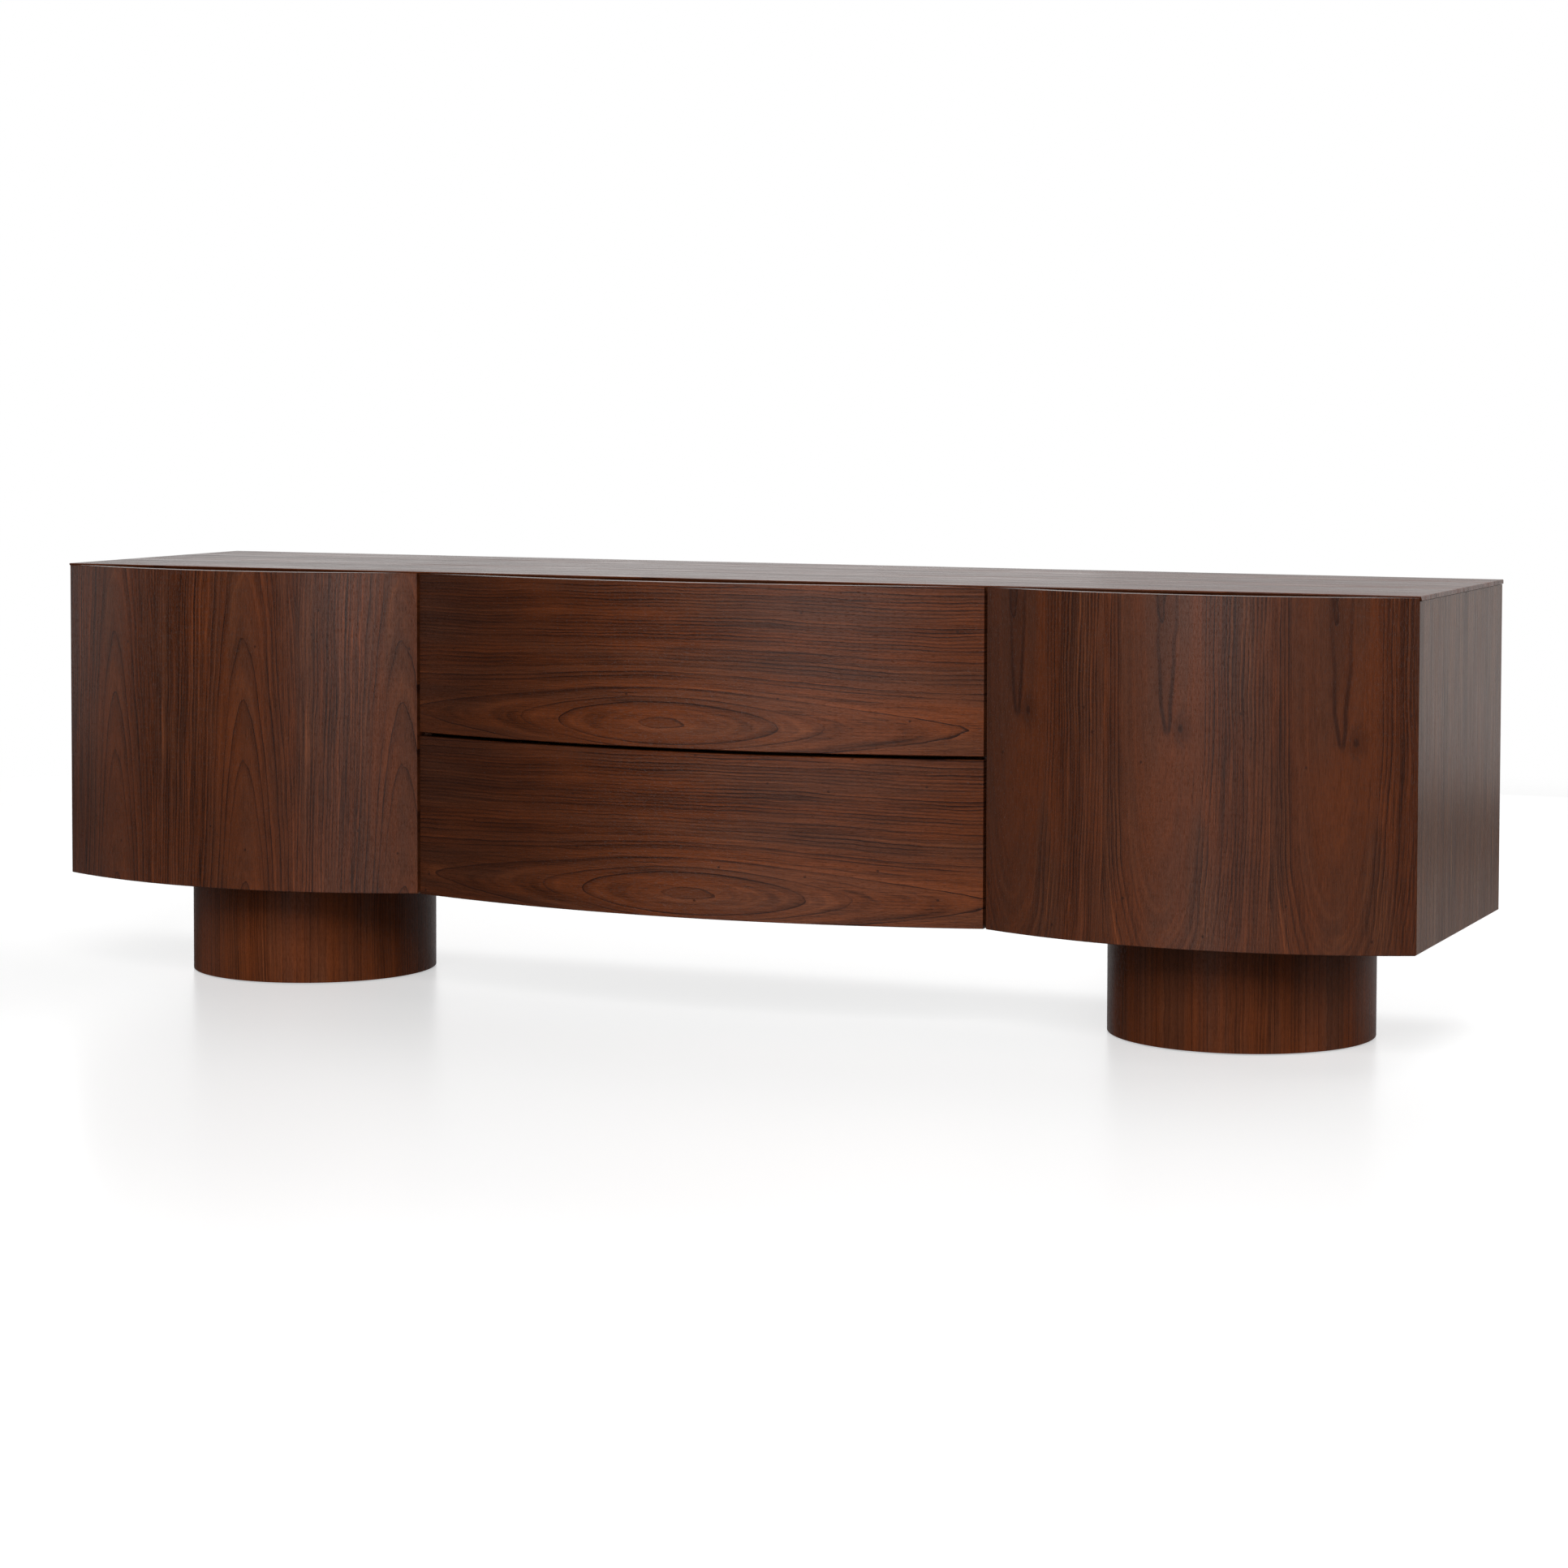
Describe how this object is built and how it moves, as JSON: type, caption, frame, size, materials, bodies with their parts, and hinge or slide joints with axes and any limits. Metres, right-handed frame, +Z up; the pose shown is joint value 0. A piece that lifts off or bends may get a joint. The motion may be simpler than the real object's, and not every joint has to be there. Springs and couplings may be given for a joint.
{
  "type": "media cabinet",
  "caption": "Low wide walnut media cabinet with bowed doors and stacked bowed drawers that meet in valleys, standing on round drum feet.",
  "frame": {"origin": "on the floor, under the middle of the bounding box", "axes": "+X to the right as seen from the front, +Y from the bowed fronts to the back, +Z up"},
  "size_m": [2, 0.53, 0.6],
  "materials": {
    "top_veneer": "satin lacquered walnut veneer, grain along the length",
    "side_veneer": "satin lacquered walnut veneer, upright grain",
    "door_veneer": "satin lacquered walnut veneer, upright grain in three leaves",
    "drawer_veneer": "satin lacquered walnut veneer, lying grain",
    "drum_veneer": "satin lacquered walnut veneer, upright grain",
    "inner_veneer": "matt lacquered walnut veneer",
    "drawer_box_wood": "clear lacquered birch ply",
    "core_board": "bare fibreboard",
    "zinc_steel": "bright zinc plate",
    "hinge_metal": "satin nickel",
    "nickel_steel": "nickel plate",
    "black_steel": "black oxide",
    "black_plastic": "fine matt",
    "soft_rubber": "translucent grey",
    "felt": "felt"
  },
  "bodies": {
    "cabinet": {"top_panel": "top_veneer", "bottom_panel": "inner_veneer", "side_panel_left": "side_veneer", "side_panel_right": "side_veneer", "partition_left": "inner_veneer", "partition_right": "inner_veneer", "back_panel_left": "inner_veneer", "back_panel_centre": "inner_veneer", "back_panel_right": "inner_veneer", "back_screws": "black_steel", "cable_grommets": "black_plastic", "shelf_left": "inner_veneer", "shelf_right": "inner_veneer", "shelf_pins": "nickel_steel", "door_catches": "black_plastic", "door_bumpers": "soft_rubber", "hinge_cups_left": "hinge_metal", "hinge_cups_right": "hinge_metal", "slide_outer_upper": "zinc_steel", "slide_outer_lower": "zinc_steel", "drum_shell_left": "drum_veneer", "drum_shell_right": "drum_veneer", "drum_top_disc_left": "core_board", "drum_top_disc_right": "core_board", "drum_base_disc_left": "core_board", "drum_base_disc_right": "core_board", "floor_pads": "felt", "drum_bolts": "black_steel", "drum_nuts": "black_steel"},
    "door_left": {"door_front_left": "door_veneer", "door_rails_left": "inner_veneer", "door_back_left": "inner_veneer", "door_strike_left": "nickel_steel", "door_hinge_cups_left": "hinge_metal"},
    "hinge_link_left": {"hinge_links_left": "hinge_metal"},
    "door_right": {"door_front_right": "door_veneer", "door_rails_right": "inner_veneer", "door_back_right": "inner_veneer", "door_strike_right": "nickel_steel", "door_hinge_cups_right": "hinge_metal"},
    "hinge_link_right": {"hinge_links_right": "hinge_metal"},
    "drawer_upper": {"drawer_front_upper": "drawer_veneer", "drawer_spacers_upper": "inner_veneer", "drawer_box_front_upper": "drawer_box_wood", "drawer_side_left_upper": "drawer_box_wood", "drawer_side_right_upper": "drawer_box_wood", "drawer_back_upper": "drawer_box_wood", "drawer_bottom_upper": "drawer_box_wood", "slide_inner_upper": "zinc_steel"},
    "slide_upper": {"slide_middle_upper": "zinc_steel"},
    "drawer_lower": {"drawer_front_lower": "drawer_veneer", "drawer_spacers_lower": "inner_veneer", "drawer_box_front_lower": "drawer_box_wood", "drawer_side_left_lower": "drawer_box_wood", "drawer_side_right_lower": "drawer_box_wood", "drawer_back_lower": "drawer_box_wood", "drawer_bottom_lower": "drawer_box_wood", "slide_inner_lower": "zinc_steel"},
    "slide_lower": {"slide_middle_lower": "zinc_steel"}
  },
  "joints": [
    {"name": "door_left_hinge", "type": "hinge", "parent": "cabinet", "child": "door_left", "pos_m": [-0.9985, -0.197, 0.373], "axis": [0, 0, -1], "range_deg": [0, 90]},
    {"name": "door_left_link", "type": "hinge", "parent": "cabinet", "child": "hinge_link_left", "pos_m": [-0.9985, -0.197, 0.373], "axis": [0, 0, -1], "range_deg": [0, 45]},
    {"name": "door_right_hinge", "type": "hinge", "parent": "cabinet", "child": "door_right", "pos_m": [0.9985, -0.197, 0.373], "axis": [0, 0, 1], "range_deg": [0, 90]},
    {"name": "door_right_link", "type": "hinge", "parent": "cabinet", "child": "hinge_link_right", "pos_m": [0.9985, -0.197, 0.373], "axis": [0, 0, 1], "range_deg": [0, 45]},
    {"name": "drawer_upper_slide", "type": "slide", "parent": "cabinet", "child": "drawer_upper", "axis": [0, -1, 0], "range_m": [0, 0.35]},
    {"name": "slide_upper_middle", "type": "slide", "parent": "cabinet", "child": "slide_upper", "axis": [0, -1, 0], "range_m": [0, 0.175]},
    {"name": "drawer_lower_slide", "type": "slide", "parent": "cabinet", "child": "drawer_lower", "axis": [0, -1, 0], "range_m": [0, 0.35]},
    {"name": "slide_lower_middle", "type": "slide", "parent": "cabinet", "child": "slide_lower", "axis": [0, -1, 0], "range_m": [0, 0.175]}
  ],
  "couplings": [
    {"joint": "door_left_link", "follows": "door_left_hinge", "ratio": 0.5},
    {"joint": "door_right_link", "follows": "door_right_hinge", "ratio": 0.5},
    {"joint": "slide_upper_middle", "follows": "drawer_upper_slide", "ratio": 0.5},
    {"joint": "slide_lower_middle", "follows": "drawer_lower_slide", "ratio": 0.5}
  ]
}
